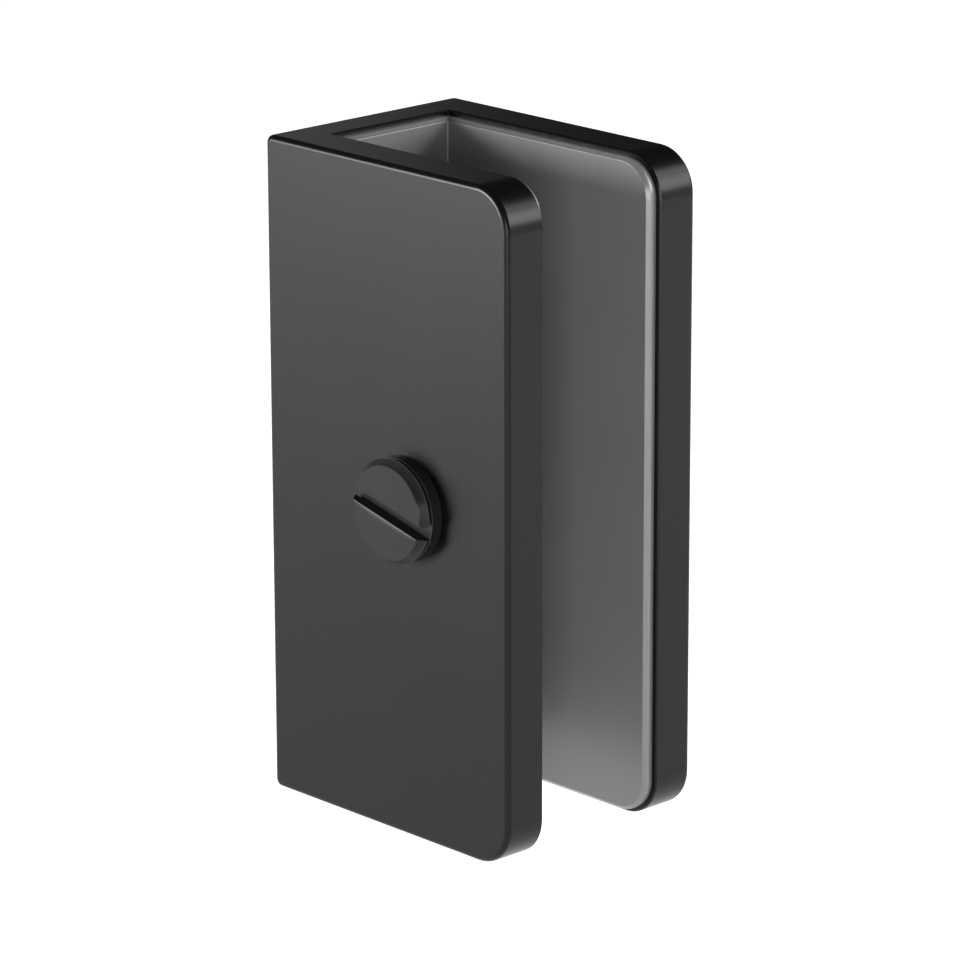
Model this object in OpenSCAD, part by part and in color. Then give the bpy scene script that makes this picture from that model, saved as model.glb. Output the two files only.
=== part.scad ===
// Wall-mounted U bracket that holds the edge of a glass pane. A one-piece metal channel carries
// a soft U liner, and a slotted screw in one flange clamps the pane through a swivel pad.
// +X points from the wall to the open mouth, +Y away from the screw, +Z up, and the origin is
// the centre of the face that lies on the wall.

/* [Channel] */
// Length of the channel along the glass edge
bracket_h = 50; // [38:1:120]
// Depth from the wall face to the flange tips
bracket_depth = 25.3; // [18:0.1:40]
// Thickness of the web that lies on the wall
web_t = 3.3; // [2.4:0.1:6]
// Thickness of each flange
flange_t = 3.52; // [2.5:0.01:6]
// Corner radius of the flange tips
tip_r = 3.2; // [1.5:0.1:8]
// Corner radius of the flanges at the wall
heel_r = 0.6; // [0.5:0.05:1.2]
// Rounding along all outer edges
edge_r = 0.4; // [0.1:0.05:0.45]
// Fillet inside the two folds
fold_r = 0.5; // [0.2:0.05:0.6]
// Small break on the inner edges
edge_break = 0.1; // [0.04:0.01:0.2]

/* [Glass and liner] */
// Thickness of the pane that the slot takes
glass_t = 10; // [6:0.5:13]
// Thickness of the liner
liner_t = 0.78; // [0.6:0.01:1.5]
// How far the liner stays back from the tip of the plain flange
liner_tip_gap = 0.44; // [0.1:0.01:1]
// How far its leg under the screw stays back from that flange's tip
liner_screw_gap = 0.8; // [0.1:0.05:2]
// How far the liner stays below each end of the channel
liner_end_gap = 0.34; // [0.1:0.01:1]
// Rounding of the liner's glass-side edges
liner_edge_r = 0.28; // [0.1:0.01:0.5]
// Fillet on the glass side of the liner's folds
liner_inner_r = 0.15; // [0.05:0.01:0.3]
// Extra outer radius of the liner's folds, so that they clear the channel's fillets
liner_fold_clear = 0.1; // [0.02:0.01:0.2]

/* [Wall screws] */
// Distance between the two wall screws
wall_pitch = 26; // [16:0.5:28]
// Diameter of each wall-screw hole
wall_hole_d = 4.5; // [3.5:0.1:5.5]
// Diameter of each countersink where it meets the inside of the web
wall_sink_d = 8.4; // [6.5:0.1:9]
// Full angle of the countersinks
wall_sink_angle = 90; // [82:1:100]
// Gap around each countersink left open in the liner
wall_access_gap = 0.4; // [0.1:0.1:1]

/* [Clamp screw] */
// Thread diameter of the clamp screw
screw_d = 4; // [3:0.1:5]
// Running clearance of the screw in its hole, on the radius
screw_fit = 0.05; // [0.01:0.01:0.1]
// Largest diameter of the head and of the collar
head_d = 7.8; // [6.5:0.1:10]
// Diameter of the head's front face
face_d = 7.04; // [6:0.02:7.4]
// Thickness of the head
head_t = 0.67; // [0.5:0.01:1.5]
// Straight land behind the head's taper
head_land = 0.07; // [0.04:0.01:0.2]
// Width of the groove between head and collar
groove_w = 0.25; // [0.15:0.01:0.6]
// Diameter at the bottom of the groove
groove_d = 6.6; // [5.4:0.1:6.8]
// Thickness of the collar that seats on the flange
collar_t = 0.95; // [0.6:0.05:2]
// Small break on the edges of the head and the collar
turned_break = 0.06; // [0.03:0.01:0.15]
// Width of the driver slot
slot_w = 1.03; // [0.6:0.01:1.6]
// Angle of the driver slot when the screw is home
slot_turn = -13.6; // [-90:0.1:90]
// Diameter of the nose that turns in the pad
nose_d = 2; // [1.2:0.1:2.4]
// Length of the nose
nose_l = 0.6; // [0.4:0.05:0.7]

/* [Swivel pad] */
// Thickness of the pad
pad_t = 1; // [0.9:0.05:1.5]
// Clearance of the pad in the screw hole, on the radius
pad_clear = 0.2; // [0.1:0.05:0.4]
// Clearance of the nose in the pad, on the radius
nose_fit = 0.05; // [0.02:0.01:0.1]
// Gap between the screw's shoulder and the pad
shoulder_gap = 0.02; // [0.01:0.01:0.1]
// Gap between the nose's end and the bottom of its bore
nose_end_gap = 0.05; // [0.02:0.01:0.1]

/* [Hidden] */
$fn = 96;
cut = 1;
quarter = 90;
top_z = bracket_h / 2;
slot_half = glass_t / 2 + liner_t;
outer_half = slot_half + flange_t;
liner_top = top_z - liner_end_gap;
liner_gaps = [liner_tip_gap, liner_screw_gap];
liner_heel_r = (liner_t + liner_edge_r) / 2;
liner_fold_r = fold_r + liner_fold_clear;
wall_sink_depth = (wall_sink_d - wall_hole_d) / 2 / tan(wall_sink_angle / 2);
wall_access_r = wall_sink_d / 2 + wall_access_gap;
screw_x = (web_t + liner_t + bracket_depth) / 2;
screw_r = screw_d / 2;
hole_r = screw_r + screw_fit;
head_r = head_d / 2;
head_back = collar_t + groove_w;
head_front = head_back + head_t;
shank_l = flange_t - pad_t - shoulder_gap;
nose_bore_l = nose_l - shoulder_gap + nose_end_gap;

// What a convex corner at the origin loses when it is rounded, or what a fold's fillet adds
module corner_bite(r) {
    difference() {
        square(r);
        translate([r, r])
            circle(r);
    }
}

// Section across a rounded rim: it reaches out along X, and Y runs from the inner to the outer
// face. The outer corner is filleted, and the inner corner may have a small break.
module rim_section(reach, thick, fillet, chamfer) {
    inner_corner = chamfer > 0 ? [[reach - chamfer, 0], [reach, chamfer]] : [[reach, 0]];
    difference() {
        polygon(concat([[0, thick], [0, 0]], inner_corner, [[reach, thick]]));
        translate([reach, thick])
            rotate(2 * quarter)
                corner_bite(fillet);
    }
}

// Straight rim along Z, reaching out along +X
module rim_run(run, reach, thick, fillet, chamfer) {
    translate([0, 0, -run / 2])
        linear_extrude(run)
            rim_section(reach, thick, fillet, chamfer);
}

// Rim around one upper corner, in the quarter between +X and +Z
module rim_turn(reach, thick, fillet, chamfer) {
    rotate([quarter, 0, 0])
        mirror([0, 0, 1])
            rotate_extrude(angle = quarter)
                rim_section(reach, thick, fillet, chamfer);
}

// Upright plate with its inner face on y = 0 and its outer face at y = thick. It runs along X
// from the heel to the tip, and its rim is rounded all the way round.
module rimmed_plate(heel, tip, half_h, thick, r_heel, r_tip, fillet, chamfer) {
    flat_mid = (heel + r_heel + tip - r_tip) / 2;
    flat_run = tip - r_tip - heel - r_heel;
    translate([heel + r_heel, 0, r_tip - half_h])
        cube([flat_run, thick, 2 * (half_h - r_tip)]);
    translate([tip - r_tip, 0, 0])
        rim_run(2 * (half_h - r_tip), r_tip, thick, fillet, chamfer);
    translate([heel + r_heel, 0, 0])
        mirror([1, 0, 0])
            rim_run(2 * (half_h - r_heel), r_heel, thick, fillet, chamfer);
    for (side = [0, 1])
        mirror([0, 0, side]) {
            translate([flat_mid, 0, half_h - r_tip])
                rotate([0, -quarter, 0])
                    rim_run(flat_run, r_tip, thick, fillet, chamfer);
            translate([tip - r_tip, 0, half_h - r_tip])
                rim_turn(r_tip, thick, fillet, chamfer);
            translate([heel + r_heel, 0, half_h - r_heel])
                mirror([1, 0, 0])
                    rim_turn(r_heel, thick, fillet, chamfer);
        }
}

// Prism along Z that fills or cuts one fold, with its square corner on the Z axis
module fold_prism(r, half_h) {
    translate([0, 0, -half_h])
        linear_extrude(2 * half_h)
            corner_bite(r);
}

// Outline of the channel's web seen along Y, with round heels and small inner breaks
module web_outline() {
    polygon([
        [heel_r, -top_z],
        [web_t - edge_break, -top_z],
        [web_t, edge_break - top_z],
        [web_t, top_z - edge_break],
        [web_t - edge_break, top_z],
        [heel_r, top_z]
    ]);
    translate([0, heel_r - top_z])
        square([heel_r, 2 * (top_z - heel_r)]);
    for (side = [-1, 1])
        translate([heel_r, side * (top_z - heel_r)])
            circle(heel_r);
}

// Outline of the liner's back seen along Y, with its glass-side ends rounded
module liner_back_outline() {
    glass_face = web_t + liner_t;
    translate([web_t, -liner_top])
        square([liner_t - liner_edge_r, 2 * liner_top]);
    translate([web_t, liner_edge_r - liner_top])
        square([liner_t, 2 * (liner_top - liner_edge_r)]);
    for (side = [-1, 1])
        translate([glass_face - liner_edge_r, side * (liner_top - liner_edge_r)])
            circle(liner_edge_r);
}

// An outline drawn in the XZ plane, given a width along Y about the middle
module across(width) {
    rotate([quarter, 0, 0])
        linear_extrude(width, center = true)
            children();
}

// Places its children at both wall-screw axes, with their own Z along +X
module at_wall_screws() {
    for (side = [-1, 1])
        translate([0, 0, side * wall_pitch / 2])
            rotate([0, quarter, 0])
                children();
}

// Places its children on the clamp screw's axis, with Z = 0 on the flange's outer face and
// their own Z pointing out of the flange
module at_clamp_screw() {
    translate([screw_x, -outer_half, 0])
        rotate([quarter, 0, 0])
            children();
}

// Countersunk hole through the web, from the wall face inwards
module wall_hole() {
    translate([0, 0, -cut])
        cylinder(h = web_t + 2 * cut, r = wall_hole_d / 2);
    translate([0, 0, web_t - wall_sink_depth])
        cylinder(h = wall_sink_depth, r1 = wall_hole_d / 2, r2 = wall_sink_d / 2);
    translate([0, 0, web_t])
        cylinder(h = cut, r = wall_sink_d / 2);
}

module bracket_body() {
    color("#26272a")
        difference() {
            union() {
                for (side = [0, 1])
                    mirror([0, side, 0])
                        translate([0, slot_half, 0])
                            rimmed_plate(0, bracket_depth, top_z, flange_t,
                                heel_r, tip_r, edge_r, edge_break);
                across(2 * (slot_half + edge_break))
                    web_outline();
                for (side = [0, 1])
                    mirror([0, side, 0])
                        translate([web_t, slot_half, 0])
                            mirror([0, 1, 0])
                                fold_prism(fold_r, top_z - edge_break);
            }
            at_wall_screws()
                wall_hole();
            at_clamp_screw()
                translate([0, 0, -flange_t - cut])
                    cylinder(h = flange_t + 2 * cut, r = hole_r);
        }
}

module liner() {
    color("#8b8d8c")
        difference() {
            union() {
                for (side = [0, 1])
                    mirror([0, side, 0])
                        translate([0, slot_half, 0])
                            mirror([0, 1, 0])
                                rimmed_plate(web_t, bracket_depth - liner_gaps[side],
                                    liner_top, liner_t, liner_heel_r,
                                    tip_r - liner_gaps[side], liner_edge_r, 0);
                across(2 * slot_half)
                    liner_back_outline();
                for (side = [0, 1])
                    mirror([0, side, 0])
                        translate([web_t + liner_t, slot_half - liner_t, 0])
                            mirror([0, 1, 0])
                                fold_prism(liner_inner_r, liner_top - liner_edge_r);
            }
            for (side = [0, 1])
                mirror([0, side, 0])
                    translate([web_t, slot_half, 0])
                        mirror([0, 1, 0])
                            fold_prism(liner_fold_r, top_z);
            at_wall_screws()
                cylinder(h = web_t + liner_t + cut, r = wall_access_r);
        }
}

// Half outline of the turned screw: X is the radius, and Y runs out of the flange from the
// collar's seat
module screw_section() {
    shank_end = -shank_l;
    nose_end = shank_end - nose_l;
    polygon([
        [0, nose_end],
        [nose_d / 2 - turned_break, nose_end],
        [nose_d / 2, nose_end + turned_break],
        [nose_d / 2, shank_end],
        [screw_r - 2 * turned_break, shank_end],
        [screw_r, shank_end + 2 * turned_break],
        [screw_r, 0],
        [head_r - turned_break, 0],
        [head_r, turned_break],
        [head_r, collar_t - turned_break],
        [head_r - turned_break, collar_t],
        [groove_d / 2, collar_t],
        [groove_d / 2, head_back],
        [head_r, head_back],
        [head_r, head_back + head_land],
        [face_d / 2, head_front - turned_break],
        [face_d / 2 - turned_break, head_front],
        [0, head_front]
    ]);
}

module clamp_screw() {
    color("#1d1e20")
        at_clamp_screw()
            difference() {
                rotate_extrude()
                    screw_section();
                rotate([0, 0, slot_turn])
                    translate([-head_r - cut, -slot_w / 2, collar_t])
                        cube([2 * (head_r + cut), slot_w, head_front - collar_t + cut]);
            }
}

module pressure_pad() {
    pad_r = hole_r - pad_clear;
    color("#b08d57")
        at_clamp_screw()
            translate([0, 0, -flange_t])
                difference() {
                    rotate_extrude()
                        polygon([
                            [0, 0],
                            [pad_r - turned_break, 0],
                            [pad_r, turned_break],
                            [pad_r, pad_t - turned_break],
                            [pad_r - turned_break, pad_t],
                            [0, pad_t]
                        ]);
                    translate([0, 0, pad_t - nose_bore_l])
                        cylinder(h = nose_bore_l + cut, r = nose_d / 2 + nose_fit);
                }
}

bracket_body();
liner();
clamp_screw();
pressure_pad();
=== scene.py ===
"""Looks of a wall-mounted glass U-bracket.

The channel and the hidden swivel pad keep their exact solids and get their finishes here. The
liner and the clamp screw are worked out as surfaces and stand in for their plain solids, the liner
with its crisp bevel, the screw with its thread, driver slot and softened edges.
"""

import logging
import math
from dataclasses import dataclass
from enum import Enum

import bmesh
import bpy
import numpy as np
from mathutils import Matrix, Vector


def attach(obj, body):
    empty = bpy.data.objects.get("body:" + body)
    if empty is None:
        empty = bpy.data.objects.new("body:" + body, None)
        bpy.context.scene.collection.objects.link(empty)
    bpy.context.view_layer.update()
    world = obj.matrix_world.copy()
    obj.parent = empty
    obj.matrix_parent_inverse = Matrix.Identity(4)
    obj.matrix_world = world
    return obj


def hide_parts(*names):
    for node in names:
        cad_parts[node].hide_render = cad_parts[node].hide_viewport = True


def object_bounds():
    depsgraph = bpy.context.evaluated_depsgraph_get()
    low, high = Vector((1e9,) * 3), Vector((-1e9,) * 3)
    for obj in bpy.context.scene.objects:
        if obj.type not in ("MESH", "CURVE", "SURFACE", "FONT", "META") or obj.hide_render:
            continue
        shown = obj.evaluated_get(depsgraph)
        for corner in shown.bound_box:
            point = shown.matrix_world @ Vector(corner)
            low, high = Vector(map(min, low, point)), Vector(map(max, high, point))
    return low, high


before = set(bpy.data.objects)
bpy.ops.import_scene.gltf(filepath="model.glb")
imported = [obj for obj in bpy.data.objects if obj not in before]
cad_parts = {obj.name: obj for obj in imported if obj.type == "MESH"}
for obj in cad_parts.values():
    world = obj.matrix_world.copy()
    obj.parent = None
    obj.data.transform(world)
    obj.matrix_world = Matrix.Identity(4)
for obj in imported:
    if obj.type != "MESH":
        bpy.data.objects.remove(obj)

LOG = logging.getLogger("glass_u_bracket")
MM = 0.001
CAD_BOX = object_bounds()
RGB = tuple[float, float, float]
Place = tuple[float, float, float]
# The mesh attribute that tells a finish where the edges are, along which it paints a highlight.
EDGE_VALUE = "edge"
# Edges of a new mesh that bend more than this stay crisp.
CRISP_DEG = 38.0
# Points on the curve of a softened corner, the straight run that it keeps on each side (a share of
# its cut, and a length), and the distance below which two points of a profile are one.
CURVE_POINTS = 5
RUN_SHARE = 0.2
RUN_MM = 0.004
SAME_MM = 1e-4


class Body(Enum):
    """The rigid bodies that new pieces ride on, by their names in the frame."""

    FRAME = "frame"
    SCREW = "screw"


class Slot(Enum):
    """The record's material slot names for the new pieces; nothing in this script uses them."""

    RUBBER = "grey_rubber"
    STEEL = "black_steel"


class NodeWriter:
    """Adds shader nodes to one tree and links them, so that a finish reads as a short recipe."""

    def __init__(self, tree: bpy.types.NodeTree) -> None:
        """Starts on a node tree."""
        self.tree = tree

    def add(self, kind: str, inputs: dict | None = None, **settings: object) -> bpy.types.Node:
        """Adds a node.

        Args:
            kind: the node's type name.
            inputs: socket name or index, to a value or to another node's output socket.
            settings: plain properties of the node.

        Returns:
            The new node.
        """
        node = self.tree.nodes.new(kind)
        for name, value in settings.items():
            setattr(node, name, value)
        for name, value in (inputs or {}).items():
            if isinstance(value, bpy.types.NodeSocket):
                self.tree.links.new(value, node.inputs[name])
            else:
                node.inputs[name].default_value = value
        return node

    def math(self, operation: str, *values: object, clamp: bool = False) -> bpy.types.NodeSocket:
        """Adds a Math node on numbers or sockets and returns its output."""
        node = self.add(
            "ShaderNodeMath", dict(enumerate(values)), operation=operation, use_clamp=clamp
        )
        return node.outputs[0]

    def remap(self, value: bpy.types.NodeSocket, low: float, high: float) -> bpy.types.NodeSocket:
        """Stretches a 0 to 1 value onto low to high and returns the output."""
        node = self.add("ShaderNodeMapRange", {"Value": value, "To Min": low, "To Max": high})
        return node.outputs["Result"]

    def noise(
        self, place: bpy.types.NodeSocket, size: bpy.types.NodeSocket, detail: float, rough: float
    ) -> bpy.types.NodeSocket:
        """Adds noise in space.

        Args:
            place: coordinates in metres.
            size: size of its patches in metres.
            detail: how many finer layers lie over them.
            rough: how strong those are.

        Returns:
            Its value, 0 to 1.
        """
        scale = self.math("DIVIDE", 1.0, size)
        inputs = {"Vector": place, "Scale": scale, "Detail": detail, "Roughness": rough}
        return self.add("ShaderNodeTexNoise", inputs).outputs["Fac"]

    def blend(
        self, mask: bpy.types.NodeSocket, first: object, second: object
    ) -> bpy.types.NodeSocket:
        """Mixes two colours by a mask.

        Args:
            mask: 0 gives the first colour, 1 the second.
            first: linear RGB, or a colour socket.
            second: linear RGB, or a colour socket.

        Returns:
            The colour output.
        """
        node = self.add("ShaderNodeMix", data_type="RGBA")
        sockets = [s for s in node.inputs if s.type == "RGBA"]
        for socket, value in zip(sockets, (first, second)):
            if isinstance(value, bpy.types.NodeSocket):
                self.tree.links.new(value, socket)
            else:
                socket.default_value = (*value, 1.0)
        self.tree.links.new(mask, node.inputs[0])
        return next(s for s in node.outputs if s.type == "RGBA")


def new_group(name: str, inputs: dict[str, float], outputs: list[str]) -> bpy.types.NodeTree:
    """Makes an empty shader node group with float sockets.

    Args:
        name: the group's name.
        inputs: name of each input to its starting value.
        outputs: names of the outputs.

    Returns:
        The group's tree.
    """
    tree = bpy.data.node_groups.new(name, "ShaderNodeTree")
    for label, value in inputs.items():
        socket = tree.interface.new_socket(label, in_out="INPUT", socket_type="NodeSocketFloat")
        socket.default_value = value
    for label in outputs:
        tree.interface.new_socket(label, in_out="OUTPUT", socket_type="NodeSocketFloat")
    return tree


def surface_group() -> bpy.types.NodeTree:
    """Fine grain, slow clouds and settled dust, shared by every finish.

    Returns:
        A group that takes the sizes of grain and clouds in metres, and gives the grain's height,
        a cloud mask and a dust mask, each 0 to 1. The dust lies where the surface looks up, broken
        by the clouds.
    """
    name = "SurfaceDetail"
    if name in bpy.data.node_groups:
        return bpy.data.node_groups[name]
    tree = new_group(
        name, {"Grain Size": 0.0002, "Cloud Size": 0.006}, ["Height", "Cloud", "Dust"]
    )
    write = NodeWriter(tree)
    given = write.add("NodeGroupInput").outputs
    place = write.add("ShaderNodeTexCoord").outputs["Object"]
    grain = write.noise(place, given["Grain Size"], detail=3.0, rough=0.6)
    cloud = write.noise(place, given["Cloud Size"], detail=4.0, rough=0.55)
    normal = write.add("ShaderNodeNewGeometry").outputs["Normal"]
    upward = write.add("ShaderNodeSeparateXYZ", {"Vector": normal}).outputs["Z"]
    dust = write.math("MULTIPLY", write.math("MAXIMUM", upward, 0.0), cloud)
    write.add("NodeGroupOutput", {"Height": grain, "Cloud": cloud, "Dust": dust})
    return tree


def lathe_group() -> bpy.types.NodeTree:
    """Fine turning marks round an axis along Y.

    Returns:
        A group that takes the axis's X and the spacing of the marks in metres, and gives their
        height, 0 to 1: a wave over the distance from the axis plus the place along it.
    """
    name = "LatheMarks"
    if name in bpy.data.node_groups:
        return bpy.data.node_groups[name]
    tree = new_group(name, {"Axis X": 0.0, "Spacing": 0.0001}, ["Height"])
    write = NodeWriter(tree)
    given = write.add("NodeGroupInput").outputs
    place = write.add("ShaderNodeTexCoord").outputs["Object"]
    parts = write.add("ShaderNodeSeparateXYZ", {"Vector": place}).outputs
    across = write.math("SUBTRACT", parts["X"], given["Axis X"])
    squared = write.math(
        "ADD", write.math("POWER", across, 2.0), write.math("POWER", parts["Z"], 2.0)
    )
    reach = write.math("ADD", write.math("SQRT", squared), parts["Y"])
    turns = write.math("DIVIDE", reach, given["Spacing"])
    noise = write.add(
        "ShaderNodeTexNoise", {"W": turns, "Scale": 1.0, "Detail": 2.0}, noise_dimensions="1D"
    )
    write.add("NodeGroupOutput", {"Height": noise.outputs["Fac"]})
    return tree


@dataclass(frozen=True)
class Finish:
    """A finish with a tint, a gloss and a fine grain.

    Attributes:
        name: the material's name.
        dark: linear colour where the clouds are thin.
        light: linear colour where they are thick.
        rough: lowest and highest roughness.
        grain_mm: size of the grain.
        cloud_mm: size of the slow variation.
        relief_mm: height of the grain.
        dust: share of pale dust on faces that look up.
        metallic: 1 for bare metal.
        specular: level of the mirror reflection, 0.5 for a plain plastic or paint.
        edge_highlight: how far the edges, where the mesh's edge value is 1, show a painted
            highlight in the highlight colour.
        dust_colour: linear colour of the dust.
        edge_highlight_colour: linear colour of the painted highlight on the edges.
    """

    name: str
    dark: RGB
    light: RGB
    rough: tuple[float, float]
    grain_mm: float
    cloud_mm: float
    relief_mm: float
    dust: float = 0.0
    metallic: float = 0.0
    specular: float = 0.5
    edge_highlight: float = 0.0
    dust_colour: RGB = (0.35, 0.34, 0.33)
    edge_highlight_colour: RGB = (0.30, 0.30, 0.29)

    def relief(self, write: NodeWriter, grain: bpy.types.NodeSocket) -> bpy.types.NodeSocket:
        """Returns the height that feeds the bump: the plain grain."""
        return grain

    def material(self) -> bpy.types.Material:
        """Builds the material.

        Returns:
            A material with one Principled shader, whose colour, roughness and bump vary.
        """
        made = bpy.data.materials.new(self.name)
        made.use_nodes = True
        made.diffuse_color = (*self.light, 1.0)
        write = NodeWriter(made.node_tree)
        shader = made.node_tree.nodes["Principled BSDF"].inputs
        detail = write.add("ShaderNodeGroup", node_tree=surface_group())
        detail.inputs["Grain Size"].default_value = self.grain_mm * MM
        detail.inputs["Cloud Size"].default_value = self.cloud_mm * MM
        cloud = detail.outputs["Cloud"]
        tint = write.blend(cloud, self.dark, self.light)
        haze = write.math("MULTIPLY", detail.outputs["Dust"], self.dust)
        tint = write.blend(haze, tint, self.dust_colour)
        # Painted highlight: a light colour along the edges, broken by the clouds, stands in for the
        # light lines that the edges catch.
        if self.edge_highlight > 0.0:
            edge = write.add("ShaderNodeAttribute", attribute_name=EDGE_VALUE).outputs["Fac"]
            painted_glint = write.math("MULTIPLY", edge, cloud)
            painted_glint = write.math("MULTIPLY", painted_glint, self.edge_highlight, clamp=True)
            tint = write.blend(painted_glint, tint, self.edge_highlight_colour)
        join = made.node_tree.links.new
        join(tint, shader["Base Color"])
        join(write.remap(cloud, *self.rough), shader["Roughness"])
        bump = write.add(
            "ShaderNodeBump",
            {
                "Height": self.relief(write, detail.outputs["Height"]),
                "Strength": 1.0,
                "Distance": self.relief_mm * MM,
            },
        )
        join(bump.outputs["Normal"], shader["Normal"])
        shader["Metallic"].default_value = self.metallic
        shader["Specular IOR Level"].default_value = self.specular
        return made


@dataclass(frozen=True)
class TurnedFinish(Finish):
    """A finish on a turned piece, with lathe marks in its relief.

    Attributes:
        axis_x_mm: where the turning axis crosses X.
        mark_mm: spacing of the marks.
        mark_share: how far the marks outweigh the grain, 0 to 1.
    """

    axis_x_mm: float = 14.69
    mark_mm: float = 0.06
    mark_share: float = 0.6

    def relief(self, write: NodeWriter, grain: bpy.types.NodeSocket) -> bpy.types.NodeSocket:
        """Returns the height that feeds the bump: grain and lathe marks, mixed by their share."""
        marks = write.add("ShaderNodeGroup", node_tree=lathe_group())
        marks.inputs["Axis X"].default_value = self.axis_x_mm * MM
        marks.inputs["Spacing"].default_value = self.mark_mm * MM
        turned = write.math("MULTIPLY", marks.outputs["Height"], self.mark_share)
        return write.math("MULTIPLY_ADD", grain, 1.0 - self.mark_share, turned)


def dress(piece: bpy.types.Object, finish: Finish) -> None:
    """Puts a finish on a piece's material slot.

    Args:
        piece: a CAD node's object or a new piece.
        finish: what to dress it in.
    """
    made = finish.material()
    if not piece.material_slots:
        piece.data.materials.append(made)
    for slot in piece.material_slots:
        slot.material = made
    LOG.info("%s is dressed in %s", piece.name, finish.name)


def stand_in(
    mesh: bpy.types.Mesh, finish: Finish, body: Body, node: str
) -> bpy.types.Object:
    """Makes a piece from a mesh, dresses it and lets it stand for a plain solid.

    Args:
        mesh: its mesh, whose name it takes.
        finish: what to dress it in.
        body: the rigid body that it rides on.
        node: the CAD node that it stands for.

    Returns:
        The piece.
    """
    piece = bpy.data.objects.new(mesh.name, mesh)
    bpy.context.scene.collection.objects.link(piece)
    dress(piece, finish)
    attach(piece, body.value)
    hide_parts(node)
    return piece


class Shell:
    """Gathers grids of points and joins them into one closed mesh."""

    def __init__(self) -> None:
        """Starts with no points and no faces."""
        self.points: list[np.ndarray] = []
        self.quads: list[np.ndarray] = []
        self.count = 0

    def grid(self, points: np.ndarray, flip: bool = False) -> None:
        """Adds a grid of quads.

        Args:
            points: rows by columns by 3. The faces look along rows cross columns.
            flip: True turns them to the other side.
        """
        rows, columns = points.shape[:2]
        index = self.count + np.arange(rows * columns).reshape(rows, columns)
        corners = (index[:-1, :-1], index[1:, :-1], index[1:, 1:], index[:-1, 1:])
        quads = np.stack(corners[::-1] if flip else corners, axis=-1).reshape(-1, 4)
        self.points.append(points.reshape(-1, 3))
        self.quads.append(quads)
        self.count += rows * columns

    def mesh(self, name: str, join_mm: float) -> bpy.types.Mesh:
        """Joins the grids along their shared borders.

        Args:
            name: the mesh's name.
            join_mm: points nearer than this are one point, which also closes the poles.

        Returns:
            A closed mesh in metres.
        """
        mesh = bpy.data.meshes.new(name)
        mesh.from_pydata(np.concatenate(self.points) * MM, [], np.concatenate(self.quads))
        work = bmesh.new()
        work.from_mesh(mesh)
        bmesh.ops.remove_doubles(work, verts=work.verts, dist=join_mm * MM)
        work.to_mesh(mesh)
        work.free()
        mesh.polygons.foreach_set("use_smooth", np.ones(len(mesh.polygons), dtype=bool))
        mesh.set_sharp_from_angle(angle=math.radians(CRISP_DEG))
        return mesh


def softened(corners: np.ndarray, cuts: tuple[float, ...]) -> np.ndarray:
    """Rounds the corners of an open profile.

    Each corner c with cut t becomes the curve (1-u)^2 a + 2u(1-u) c + u^2 b for u from 0 to 1,
    where a and b lie t before and behind it. A point a little further on each side keeps the
    straight runs flat.

    Args:
        corners: points along the profile, count by 2.
        cuts: how much of each side a corner gives up; 0 leaves it sharp.

    Returns:
        The rounded profile, its ends unchanged.
    """
    before = corners[:-2] - corners[1:-1]
    behind = corners[2:] - corners[1:-1]
    before /= np.linalg.norm(before, axis=1, keepdims=True)
    behind /= np.linalg.norm(behind, axis=1, keepdims=True)
    cut = np.array(cuts)[:, None]
    first = corners[1:-1] + before * cut
    last = corners[1:-1] + behind * cut
    u = np.linspace(0.0, 1.0, CURVE_POINTS)[None, :, None]
    middle = corners[1:-1][:, None, :]
    curve = (1 - u) ** 2 * first[:, None] + 2 * u * (1 - u) * middle + u**2 * last[:, None]
    stay = RUN_SHARE * cut + RUN_MM
    run_in = (first + before * stay)[:, None]
    run_out = (last + behind * stay)[:, None]
    rounded = np.concatenate((run_in, curve, run_out), axis=1).reshape(-1, 2)
    whole = np.concatenate((corners[:1], rounded, corners[-1:]))
    apart = np.linalg.norm(np.diff(whole, axis=0), axis=1) > SAME_MM
    return whole[np.concatenate(([True], apart))]


@dataclass
class Channel:
    """The one-piece metal channel."""

    node: str = "bracket_body"
    finish: Finish = Finish(
        "PowderCoat",
        dark=(0.0032, 0.0033, 0.0034),
        light=(0.0042, 0.0043, 0.0044),
        rough=(0.278, 0.300),
        grain_mm=0.16,
        cloud_mm=9.0,
        relief_mm=0.0016,
        dust=0.01,
        specular=0.19,
    )

    def build(self) -> None:
        """Dresses the channel's own solid."""
        dress(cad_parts[self.node], self.finish)


@dataclass(frozen=True)
class LinerLeg:
    """One leg of the liner, on one side of the pane.

    Attributes:
        side: 1 for the leg away from the screw, -1 for the one under it.
        tip_x: how far it reaches towards the open mouth.
        tip_r: radius of its two corners there.
    """

    side: float
    tip_x: float
    tip_r: float


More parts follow.
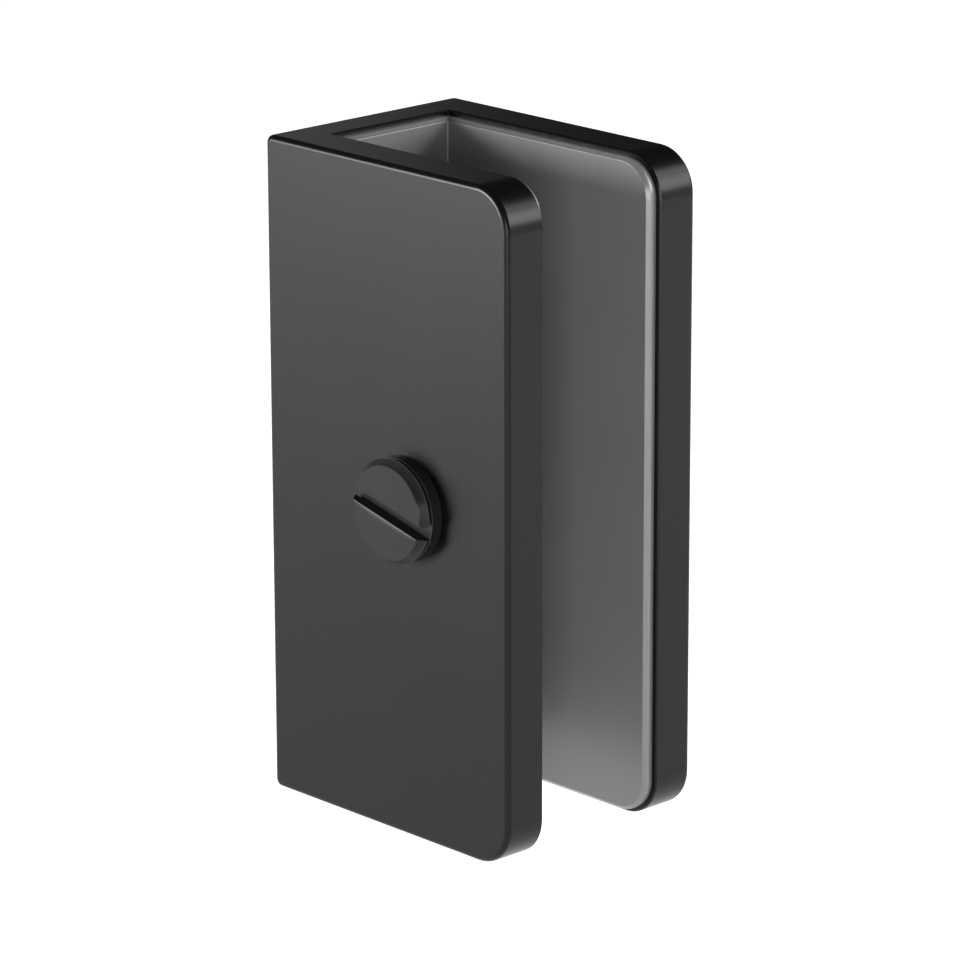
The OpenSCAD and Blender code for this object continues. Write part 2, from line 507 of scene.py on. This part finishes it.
@dataclass
class Liner:
    """The moulded gasket inside the channel.

    It is a soft sheet bent to a U, with a crisp bevel all round its glass side. Lengths are in
    millimetres.

    Attributes:
        node: the CAD node that it stands for.
        thick: the sheet's thickness.
        web_x: where the back of its web lies.
        back_y: where the backs of its legs lie, on both sides of the pane.
        top_z: half its length.
        outer_fold_r: radius of the folds on the back.
        inner_fold_r: radius of the folds on the glass side.
        screw_leg: the leg under the screw.
        plain_leg: the leg on the other side.
        bevel: how wide and deep the bevel is.
        lip: how much of each side the bevel's corners and the holes' edges give up.
        rim_run: how far the strip over the bevel runs on over both faces.
        hole_z: how far the access holes lie from the middle.
        hole_r: their radius.
        hole_room: how far past them the open cell in the web reaches, up and down.
        tip_steps: steps round each corner of the tips.
        leg_steps: steps along each leg.
        fold_steps: steps round each fold.
        web_steps: steps across the web.
        band_steps: steps along the length in each of five bands; the second and fourth hold a hole.
        hole_rings: steps from the cell's border to a hole's edge.
        join: points nearer than this are one.
        finish: what it is dressed in.
    """

    node: str = "liner"
    thick: float = 0.78
    web_x: float = 3.3
    back_y: float = 5.78
    top_z: float = 24.66
    outer_fold_r: float = 0.6
    inner_fold_r: float = 0.15
    screw_leg: LinerLeg = LinerLeg(-1.0, 24.5, 2.4)
    plain_leg: LinerLeg = LinerLeg(1.0, 24.86, 2.76)
    bevel: float = 0.27
    lip: float = 0.03
    rim_run: float = 0.1
    hole_z: float = 13.0
    hole_r: float = 4.6
    hole_room: float = 0.8
    tip_steps: int = 20
    leg_steps: int = 12
    fold_steps: int = 8
    web_steps: int = 24
    band_steps: tuple[int, ...] = (6, 24, 12, 24, 6)
    hole_rings: int = 3
    join: float = 0.002
    finish: Finish = Finish(
        "SoftRubber",
        dark=(0.200, 0.205, 0.202),
        light=(0.235, 0.242, 0.239),
        rough=(0.278, 0.325),
        grain_mm=0.12,
        cloud_mm=5.0,
        relief_mm=0.0015,
        dust=0.03,
        specular=0.85,
    )

    def rim_profile(self) -> np.ndarray:
        """Inset from the outline and depth under the glass side, over the bevel to the back."""
        corners = np.array(
            (
                (self.bevel + self.rim_run, 0.0),
                (self.bevel, 0.0),
                (0.0, self.bevel),
                (0.0, self.thick),
                (self.rim_run, self.thick),
            )
        )
        return softened(corners, (self.lip, self.lip, self.lip))

    def leg_stations(self, leg: LinerLeg, inset: float, depth: float) -> np.ndarray:
        """Stations of one leg, from its tip to the web's side of its fold.

        The corner's stations are c + (r - inset)(cos t, sin t) for t from 0 to a right angle, in X
        and height. A fold's stations are k + q(-cos t, sin t) in X and Y, once with the glass
        side's centre and radius and once with the back's, mixed by the depth.

        Args:
            leg: which leg.
            inset: how far the stations' ends stay inside the outline.
            depth: how far the stations lie under the glass side.

        Returns:
            X, Y and half height of each station, count by 3.
        """
        share = depth / self.thick
        level = self.top_z - inset
        turn = np.linspace(0.0, math.pi / 2, self.tip_steps + 1)
        reach = leg.tip_r - inset
        tip_x = leg.tip_x - leg.tip_r + reach * np.cos(turn)
        tip_h = self.top_z - leg.tip_r + reach * np.sin(turn)
        bend = np.linspace(math.pi / 2, 0.0, self.fold_steps + 1)
        wall_x = np.array((self.web_x + self.thick, self.web_x))
        wall_y = np.array((self.back_y - self.thick, self.back_y))
        fold_r = np.array((self.inner_fold_r, self.outer_fold_r))
        weight = np.array((1.0 - share, share))
        fold_x = (wall_x + fold_r * (1.0 - np.cos(bend[:, None]))) @ weight
        fold_y = (wall_y - fold_r * (1.0 - np.sin(bend[:, None]))) @ weight
        leg_x = np.linspace(tip_x[-1], fold_x[0], self.leg_steps + 1)[1:-1]
        x = np.concatenate((tip_x, leg_x, fold_x))
        y = np.concatenate((np.full(len(tip_x) + len(leg_x), fold_y[0]), fold_y))
        height = np.concatenate((tip_h, np.full(len(leg_x) + len(fold_x), level)))
        return np.stack((x, leg.side * y, height), axis=-1)

    def stations(self, inset: float, depth: float) -> np.ndarray:
        """Stations along the whole U: X, Y and half height of each, count by 3."""
        near = self.leg_stations(self.screw_leg, inset, depth)
        far = self.leg_stations(self.plain_leg, inset, depth)[::-1]
        web = np.linspace(near[-1], far[0], self.web_steps + 1)[1:-1]
        return np.concatenate((near, web, far))

    def web(self) -> slice:
        """The web's stations, with both its borders."""
        start = self.tip_steps + self.leg_steps + self.fold_steps
        return slice(start, start + self.web_steps + 1)

    def levels(self) -> np.ndarray:
        """Shares of the half height, -1 to 1, with a band for each access hole."""
        room = self.hole_r + self.hole_room
        low, high = (self.hole_z - room) / self.top_z, (self.hole_z + room) / self.top_z
        stops = (-1.0, -high, -low, low, high, 1.0)
        runs = zip(stops, stops[1:], self.band_steps)
        parts = [np.linspace(first, last, steps + 1)[:-1] for first, last, steps in runs]
        return np.concatenate((*parts, (1.0,)))

    def bands(self) -> list[slice]:
        """The levels of each band, with both its borders."""
        stops = np.cumsum((0, *self.band_steps))
        return [slice(first, last + 1) for first, last in zip(stops, stops[1:])]

    def ring(self, inset: float, depth: float) -> np.ndarray:
        """The sheet's outline at one inset and depth, as a closed loop of points.

        It goes up the screw leg's tip, along the top, down the other tip and back along the bottom.
        """
        stations = self.stations(inset, depth)
        share = self.levels()[:, None]
        upright = np.array((1.0, 1.0, 0.0)) + np.array((0.0, 0.0, 1.0)) * share
        low = stations * (1.0, 1.0, -1.0)
        return np.concatenate(
            (stations[0] * upright, stations, stations[-1] * upright[::-1], low[::-1])
        )

    def hole(self, shell: Shell, faces: tuple[np.ndarray, np.ndarray], rows: slice) -> None:
        """Closes the web round one access hole.

        Straight lines run from the open cell's border to the circle z + r(cos t, sin t), where t
        is the border point's own direction, and the hole's wall joins the two circles.

        Args:
            shell: what to add it to.
            faces: grids of the glass side and the back.
            rows: the cell's levels; its stations are those of the web.
        """
        wide = self.hole_r + self.hole_room
        corners = np.array(
            ((wide, 0.0), (self.hole_r, 0.0), (self.hole_r, self.thick), (wide, self.thick))
        )
        profile = softened(corners, (self.lip, self.lip))[1:-1]
        loops = []
        for face in faces:
            cell = face[self.web(), rows]
            loops.append(
                np.concatenate((cell[:-1, 0], cell[-1, :-1], cell[:0:-1, -1], cell[0, ::-1]))
            )
        centre = np.array((0.0, 0.0, math.copysign(self.hole_z, loops[0][0, 2])))
        away = (loops[0] - centre) * (0.0, 1.0, 1.0)
        away /= np.linalg.norm(away, axis=1, keepdims=True)
        glass_x = np.array((self.web_x + self.thick, 0.0, 0.0))
        inward = np.array((-1.0, 0.0, 0.0))
        radius, depth = profile.T[:, :, None, None]
        wall = centre + glass_x + radius * away + depth * inward
        shell.grid(wall, flip=True)
        share = np.linspace(0.0, 1.0, self.hole_rings + 1)[:, None, None]
        shell.grid(loops[0] + (wall[0] - loops[0]) * share, flip=True)
        shell.grid(loops[1] + (wall[-1] - loops[1]) * share)

    def build(self) -> bpy.types.Object:
        """Makes the liner and lets it stand for its plain solid.

        Returns:
            The liner's object.
        """
        shell = Shell()
        profile = self.rim_profile()
        shell.grid(np.stack([self.ring(inset, depth) for inset, depth in profile]), flip=True)
        share = self.levels()
        faces = []
        for inset, depth in (profile[0], profile[-1]):
            x, y, height = self.stations(inset, depth).T[:, :, None]
            faces.append(np.stack(np.broadcast_arrays(x, y, height * share), axis=-1))
        web, bands = self.web(), self.bands()
        for face, flip in zip(faces, (False, True)):
            shell.grid(face[: web.start + 1], flip)
            shell.grid(face[web.stop - 1 :], flip)
            for rows in bands[0::2]:
                shell.grid(face[web, rows], flip)
        for rows in bands[1::2]:
            self.hole(shell, tuple(faces), rows)
        mesh = shell.mesh("liner_moulded", self.join)
        return stand_in(mesh, self.finish, Body.FRAME, self.node)


@dataclass
class SwivelPad:
    """The small disc on the screw's nose."""

    node: str = "pressure_pad"
    finish: Finish = TurnedFinish(
        "TurnedBrass",
        dark=(0.52, 0.36, 0.15),
        light=(0.60, 0.43, 0.19),
        rough=(0.26, 0.36),
        grain_mm=0.05,
        cloud_mm=1.5,
        relief_mm=0.0015,
        metallic=1.0,
    )

    def build(self) -> None:
        """Dresses the pad's own solid."""
        dress(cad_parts[self.node], self.finish)


@dataclass
class ClampScrew:
    """Slotted, undercut clamp screw with a collar, a threaded shank and a plain nose.

    Lengths are in millimetres. Heights run outwards along the axis from the flange's outer face,
    so the head's are positive and the shank's negative.

    Attributes:
        node: the CAD node that it stands for.
        axis_x: where its axis crosses X.
        seat_y: where the flange's outer face lies.
        collar_r: radius of the collar.
        collar_h: its height, which is also that of the slot's floor.
        neck_r: radius of the groove over it.
        neck_top: height of the groove's upper side.
        head_r: radius of the head.
        land_top: height of the top of its straight land.
        face_r: radius where its tapered rim meets the face.
        face_h: height of its face.
        edge: rounding of the face's rim and of the collar's upper edge.
        land_lip: rounding of the land's two edges.
        seat_lip: rounding of the collar's lower edge.
        slot_w: width of the driver slot.
        slot_turn: its angle about the axis, in degrees.
        lip: rounding of its upper edges.
        crest_r: radius over the thread's crests.
        thread_depth: from the crests to the root.
        pitch: its pitch.
        crest_flat: width of its crests, as a share of the pitch.
        root_flat: width of its root, as a share of the pitch.
        relief_h: height over which it fades in.
        relief_from: where that starts, as a share of that height.
        end_cut: how far the shank's end lies under the root.
        shank_end: height of the shank's end.
        nose_r: radius of the nose.
        nose_end: height of its end.
        nose_lips: rounding of its two edges.
        arc_steps: steps round each half of the head.
        slot_steps: steps across the slot.
        ring_steps: steps from the slot's floor out to the collar's edge.
        face_steps: steps from the face's rim down to the slot.
        pitch_steps: steps along one pitch.
        join: points nearer than this are one.
        edge_reach: how far the painted highlight on its edges reaches.
        finish: what it is dressed in.
    """

    node: str = "clamp_screw"
    axis_x: float = 14.69
    seat_y: float = -9.3
    collar_r: float = 3.9
    collar_h: float = 0.95
    neck_r: float = 3.3
    neck_top: float = 1.2
    head_r: float = 3.9
    land_top: float = 1.27
    face_r: float = 3.52
    face_h: float = 1.87
    edge: float = 0.06
    land_lip: float = 0.03
    seat_lip: float = 0.05
    slot_w: float = 1.03
    slot_turn: float = -13.6
    lip: float = 0.035
    crest_r: float = 2.0
    thread_depth: float = 0.43
    pitch: float = 0.7
    crest_flat: float = 0.125
    root_flat: float = 0.25
    relief_h: float = -0.3
    relief_from: float = 0.4
    end_cut: float = 0.15
    shank_end: float = -2.5
    nose_r: float = 1.0
    nose_end: float = -3.1
    nose_lips: tuple[float, float] = (0.05, 0.12)
    arc_steps: int = 81
    slot_steps: int = 9
    ring_steps: int = 3
    face_steps: int = 6
    pitch_steps: int = 18
    join: float = 0.001
    edge_reach: float = 0.025
    finish: Finish = TurnedFinish(
        "BlackedSteel",
        dark=(0.0165, 0.0169, 0.0172),
        light=(0.0220, 0.0224, 0.0228),
        rough=(0.22, 0.27),
        grain_mm=0.08,
        cloud_mm=2.5,
        relief_mm=0.0010,
        dust=0.01,
        specular=0.13,
        # Its edges carry a painted highlight, a light line along each turned edge.
        edge_highlight=0.9,
    )

    def place(self, x: np.ndarray, y: np.ndarray, height: np.ndarray | float) -> np.ndarray:
        """Carries the screw's own coordinates into the frame.

        The slot runs along x. The axes are turned by the slot's angle about the outward axis,
        which is the frame's -Y.

        Args:
            x: along the slot.
            y: across it.
            height: along the axis, outwards.

        Returns:
            Points, over the common grid of all three, with a last axis of 3.
        """
        turn = math.radians(self.slot_turn)
        along = self.axis_x + x * math.cos(turn) - y * math.sin(turn)
        upward = x * math.sin(turn) + y * math.cos(turn)
        along, upward, depth = np.broadcast_arrays(along, upward, self.seat_y - height)
        return np.stack((along, depth, upward), axis=-1)

    def slot_half(self, height: np.ndarray) -> np.ndarray:
        """Half the slot's width, which opens along a quarter circle in the last lip of height."""
        into = np.clip((height - self.face_h + self.lip) / self.lip, 0.0, 1.0)
        return self.slot_w / 2 + self.lip * (1.0 - np.sqrt(1.0 - into**2))

    def head_profile(self) -> np.ndarray:
        """Radius and height of the head from the slot's floor up to its face."""
        corners = np.array(
            (
                (self.neck_r, self.collar_h),
                (self.neck_r, self.neck_top),
                (self.head_r, self.neck_top),
                (self.head_r, self.land_top),
                (self.face_r, self.face_h - self.edge),
                (self.face_r - self.edge, self.face_h),
            )
        )
        return softened(corners, (0.0, self.land_lip, self.land_lip, self.edge))

    def half_head(self, shell: Shell, side: float) -> None:
        """Adds the half of the head on one side of the slot.

        At every height the outline is the arc r(cos t, sin t) from t = asin(h/r) to pi minus that,
        closed by the chord y = h, where h is half the slot's width. The face is the same arc drawn
        down to its chord.

        Args:
            shell: what to add it to.
            side: 1 for the upper half, -1 for the lower one, turned by half a turn.
        """
        radius, height = self.head_profile().T[:, :, None]
        half = self.slot_half(height)
        start = np.arcsin(half / radius)
        share = np.linspace(0.0, 1.0, self.arc_steps + 1)[None, :]
        angle = start + (math.pi - 2 * start) * share
        x = radius * np.cos(angle)
        arc = radius * np.sin(angle)
        shell.grid(self.place(side * x, side * arc, height), flip=True)
        shell.grid(self.place(side * x, side * half, height))
        down = np.linspace(0.0, 1.0, self.face_steps + 1)[:, None]
        face = half[-1] + (arc[-1] - half[-1]) * down
        shell.grid(self.place(side * x[-1:], side * face, self.face_h))

    def ring(self, radius: float) -> np.ndarray:
        """Angles of the full ring that meets both half heads and the ends of the slot."""
        start = math.asin(self.slot_w / 2 / radius)
        end = np.linspace(-start, start, self.slot_steps + 1)[:-1]
        arc = np.linspace(start, math.pi - start, self.arc_steps + 1)[:-1]
        half = np.concatenate((end, arc))
        return np.concatenate((half, half + math.pi, half[:1] + 2 * math.pi))

    def slot_floor(self, shell: Shell, outer_r: float) -> None:
        """Adds the collar's top with the slot's floor.

        The floor is a strip between the two chords. Round it, straight lines run from the neck's
        outline, which is the two arcs and the two straight ends of the strip, to a circle.

        Args:
            shell: what to add it to.
            outer_r: radius of that circle.
        """
        half = self.slot_w / 2
        start = math.asin(half / self.neck_r)
        arc = np.linspace(start, math.pi - start, self.arc_steps + 1)[None, :]
        across = np.linspace(-half, half, self.slot_steps + 1)[:, None]
        shell.grid(self.place(self.neck_r * np.cos(arc), across, self.collar_h))
        angle = self.ring(self.neck_r)
        inner_x = self.neck_r * np.cos(angle)
        inner_y = self.neck_r * np.sin(angle)
        end = np.abs(inner_y) < half - SAME_MM
        reach = math.sqrt(self.neck_r**2 - half**2)
        level = np.linspace(-half, half, self.slot_steps + 1)
        inner_x = np.where(end, np.sign(inner_x) * reach, inner_x)
        inner_y[: self.slot_steps] = level[:-1]
        other = self.slot_steps + self.arc_steps
        inner_y[other : other + self.slot_steps] = -level[:-1]
        inner_y[-1] = inner_y[0]
        inner_x[-1] = inner_x[0]
        outer_x = outer_r * np.cos(angle)
        outer_y = outer_r * np.sin(angle)
        out = np.linspace(0.0, 1.0, self.ring_steps + 1)[:, None]
        x = inner_x + (outer_x - inner_x) * out
        y = inner_y + (outer_y - inner_y) * out
        shell.grid(self.place(x, y, self.collar_h))

    def revolve(self, shell: Shell, profile: np.ndarray) -> None:
        """Adds a turned surface: x = r cos t, y = r sin t over the ring's angles.

        Args:
            shell: what to add it to.
            profile: radius and height of each station, from the top down.
        """
        radius, height = profile.T[:, :, None]
        angle = self.ring(self.neck_r)[None, :]
        shell.grid(self.place(radius * np.cos(angle), radius * np.sin(angle), height))

    def thread(self, shell: Shell) -> None:
        """Adds the threaded shank.

        With f the fraction of a turn that separates a point from the nearest crest, at height over
        pitch minus angle over a full turn, the radius is the root plus the depth times
        (g - f) / (g - c), kept between 0 and 1, where c is half the crest's flat and g is half a
        turn less half the root's flat. The thread fades in below the collar and is cut by a
        45 degree cone at its end.

        Args:
            shell: what to add it to.
        """
        turns = abs(self.shank_end) / self.pitch
        height = np.linspace(0.0, self.shank_end, int(turns * self.pitch_steps))[:, None]
        angle = self.ring(self.neck_r)[None, :]
        phase = height / self.pitch - angle / (2 * math.pi)
        away = np.abs((phase + 0.5) % 1.0 - 0.5)
        ground = (1.0 - self.root_flat) / 2
        wave = np.clip((ground - away) / (ground - self.crest_flat / 2), 0.0, 1.0)
        fade = np.clip(height / self.relief_h - self.relief_from, 0.0, 1.0)
        root = self.crest_r - self.thread_depth
        radius = root + self.thread_depth * wave * fade
        radius = np.minimum(radius, root - self.end_cut + (height - self.shank_end))
        shell.grid(self.place(radius * np.cos(angle), radius * np.sin(angle), height))

    def mark_edges(self, mesh: bpy.types.Mesh) -> None:
        """Stores how near each point lies to a turned edge.

        With d the distance from the nearest edge circle in the plane of radius and height, the
        value is exp(-(d / reach)^2): 1 on the edge, 0 away from it.

        Args:
            mesh: the screw's mesh, in metres.
        """
        points = np.empty(len(mesh.vertices) * 3)
        mesh.vertices.foreach_get("co", points)
        x, y, z = points.reshape(-1, 3).T / MM
        radius = np.hypot(x - self.axis_x, z)[:, None]
        height = (self.seat_y - y)[:, None]
        edges = np.array(
            (
                (self.collar_r, self.collar_h),
                (self.collar_r, 0.0),
                (self.head_r, self.neck_top),
                (self.head_r, self.land_top),
                (self.face_r, self.face_h),
            )
        )
        away = np.hypot(radius - edges[:, 0], height - edges[:, 1]).min(axis=1)
        value = mesh.attributes.new(EDGE_VALUE, "FLOAT", "POINT")
        value.data.foreach_set("value", np.exp(-((away / self.edge_reach) ** 2)))

    def build(self) -> bpy.types.Object:
        """Makes the screw and lets it stand for its plain solid.

        Returns:
            The screw's object.
        """
        shell = Shell()
        self.half_head(shell, 1.0)
        self.half_head(shell, -1.0)
        top_r = self.collar_r - 2 * self.edge
        self.slot_floor(shell, top_r)
        root = self.crest_r - self.thread_depth
        collar = np.array(
            (
                (top_r, self.collar_h),
                (self.collar_r, self.collar_h),
                (self.collar_r, 0.0),
                (root, 0.0),
            )
        )
        self.revolve(shell, softened(collar, (self.edge, self.seat_lip)))
        self.thread(shell)
        nose = np.array(
            (
                (root - self.end_cut, self.shank_end),
                (self.nose_r, self.shank_end),
                (self.nose_r, self.nose_end),
                (0.0, self.nose_end),
            )
        )
        self.revolve(shell, softened(nose, self.nose_lips))
        mesh = shell.mesh("clamp_screw_turned", self.join)
        self.mark_edges(mesh)
        return stand_in(mesh, self.finish, Body.SCREW, self.node)


@dataclass(frozen=True)
class SoftBox:
    """One soft rectangular lamp that faces the bracket.

    Attributes:
        name: its name.
        azimuth: where it stands round the bracket, in degrees from +X towards +Y.
        elevation: how high it stands, in degrees.
        width: its width in metres.
        height: its height in metres.
        watts: its power.
        reach: its distance from the bracket in metres.
    """

    name: str
    azimuth: float
    elevation: float
    width: float
    height: float
    watts: float
    reach: float = 0.42

    def build(self) -> None:
        """Adds the lamp."""
        turn, rise = math.radians(self.azimuth), math.radians(self.elevation)
        towards = Vector(
            (math.cos(turn) * math.cos(rise), math.sin(turn) * math.cos(rise), math.sin(rise))
        )
        data = bpy.data.lights.new(self.name, "AREA")
        data.shape = "RECTANGLE"
        data.size, data.size_y = self.width, self.height
        data.energy = self.watts
        lamp = bpy.data.objects.new(self.name, data)
        lamp.location = towards * self.reach
        lamp.rotation_mode = "QUATERNION"
        lamp.rotation_quaternion = towards.to_track_quat("Z", "Y")
        bpy.context.scene.collection.objects.link(lamp)


@dataclass
class Studio:
    """Camera, floor, lamps and world.

    Attributes:
        eye_mm: the camera's place in the bracket's frame.
        yaw: its azimuth in degrees, 0 looking along +Y.
        pitch: how far it looks down, in degrees.
        roll: how far its picture is turned, in degrees.
        focal_px: its focal length in pixels of the square frame.
        frame_px: the frame's width.
        sensor_mm: the sensor's width.
        seen_m: the nearest and the farthest distance that it sees, in metres.
        floor_half: half the floor's side in metres.
        floor_colour: the floor's matt linear colour.
        floor_glow: what the floor shows the camera and the reflections on top of its own light.
        floor_gap_mm: how far the floor lies under the bracket, which hangs on its wall.
        sky: level of the even light from all round.
        boxes: the lamps.
    """

    eye_mm: Place = (266.27, -239.78, 103.94)
    yaw: float = 46.603
    pitch: float = 16.628
    roll: float = -0.167
    focal_px: float = 4978.683
    frame_px: int = 960
    sensor_mm: float = 36.0
    seen_m: tuple[float, float] = (0.01, 10.0)
    floor_half: float = 3.0
    floor_colour: RGB = (0.8, 0.8, 0.8)
    floor_glow: float = 0.9
    floor_gap_mm: float = 25.0
    sky: float = 0.03
    boxes: tuple[SoftBox, ...] = (
        SoftBox("front_left_box", 237.0, 4.0, 0.23, 0.23, 6.20, 0.6),
        SoftBox("front_right_box", 318.0, 4.0, 0.16, 0.16, 0.68),
        SoftBox("right_box", 36.0, 19.0, 0.16, 0.16, 0.80),
        SoftBox("back_right_box", 60.0, 26.0, 0.16, 0.20, 0.62),
        SoftBox("back_box", 147.0, 14.0, 0.40, 0.40, 0.15, 1.2),
    )

    def camera(self) -> None:
        """Places the camera at the photograph's viewpoint."""
        yaw, pitch, roll = (math.radians(a) for a in (self.yaw, self.pitch, self.roll))
        back = Vector(
            (math.sin(yaw) * math.cos(pitch), -math.cos(yaw) * math.cos(pitch), math.sin(pitch))
        )
        right = (-back).cross(Vector((0, 0, 1))).normalized()
        up = right.cross(-back)
        across = math.cos(roll) * right + math.sin(roll) * up
        upward = math.cos(roll) * up - math.sin(roll) * right
        data = bpy.data.cameras.new("camera")
        data.sensor_width = self.sensor_mm
        data.lens = self.focal_px * self.sensor_mm / self.frame_px
        data.clip_start, data.clip_end = self.seen_m
        eye = bpy.data.objects.new("camera", data)
        turn = Matrix((across, upward, back)).transposed().to_4x4()
        eye.matrix_world = Matrix.Translation(Vector(self.eye_mm) * MM) @ turn
        bpy.context.scene.collection.objects.link(eye)
        bpy.context.scene.camera = eye

    def floor(self) -> None:
        """Lays a pale floor under the bracket.

        It adds a glow to its matt colour for the camera, for reflections and for what is seen
        through glass, so that it shows white but keeps the bracket's shadow. From below it is
        clear.
        """
        low, _ = CAD_BOX
        half = self.floor_half
        mesh = bpy.data.meshes.new("floor")
        corners = ((-half, -half), (half, -half), (half, half), (-half, half))
        level = low.z - self.floor_gap_mm * MM
        mesh.from_pydata([(x, y, level) for x, y in corners], [], [(0, 1, 2, 3)])
        floor = bpy.data.objects.new("floor", mesh)
        bpy.context.scene.collection.objects.link(floor)
        paint = bpy.data.materials.new("PaleFloor")
        paint.use_nodes = True
        paint.node_tree.nodes.clear()
        write = NodeWriter(paint.node_tree)
        path = write.add("ShaderNodeLightPath").outputs
        rays = write.math("ADD", path["Is Camera Ray"], path["Is Glossy Ray"])
        rays = write.math("ADD", rays, path["Is Transmission Ray"], clamp=True)
        colour = (*self.floor_colour, 1.0)
        matt = write.add("ShaderNodeBsdfDiffuse", {"Color": colour}).outputs[0]
        glow = write.add("ShaderNodeEmission", {"Strength": self.floor_glow}).outputs[0]
        both = write.add("ShaderNodeAddShader", {0: matt, 1: glow}).outputs[0]
        seen = write.add("ShaderNodeMixShader", {0: rays, 1: matt, 2: both}).outputs[0]
        below = write.add("ShaderNodeNewGeometry").outputs["Backfacing"]
        clear = write.add("ShaderNodeBsdfTransparent").outputs[0]
        shown = write.add("ShaderNodeMixShader", {0: below, 1: seen, 2: clear}).outputs[0]
        write.add("ShaderNodeOutputMaterial", {"Surface": shown})
        mesh.materials.append(paint)

    def world(self) -> None:
        """Makes an even, dim light from all round."""
        world = bpy.data.worlds.new("studio")
        world.use_nodes = True
        light = world.node_tree.nodes["Background"].inputs
        light["Color"].default_value = (1.0, 1.0, 1.0, 1.0)
        light["Strength"].default_value = self.sky
        bpy.context.scene.world = world

    def build(self) -> None:
        """Sets up the whole studio."""
        bpy.context.scene.view_settings.view_transform = "Standard"
        self.camera()
        self.floor()
        self.world()
        for box in self.boxes:
            box.build()
        LOG.info("studio is lit by %d soft boxes", len(self.boxes))


def main() -> None:
    """Builds the studio, then makes and dresses every piece in order."""
    Studio().build()
    Channel().build()
    Liner().build()
    ClampScrew().build()
    SwivelPad().build()


if __name__ == "__main__":
    logging.basicConfig(level=logging.INFO)
    main()
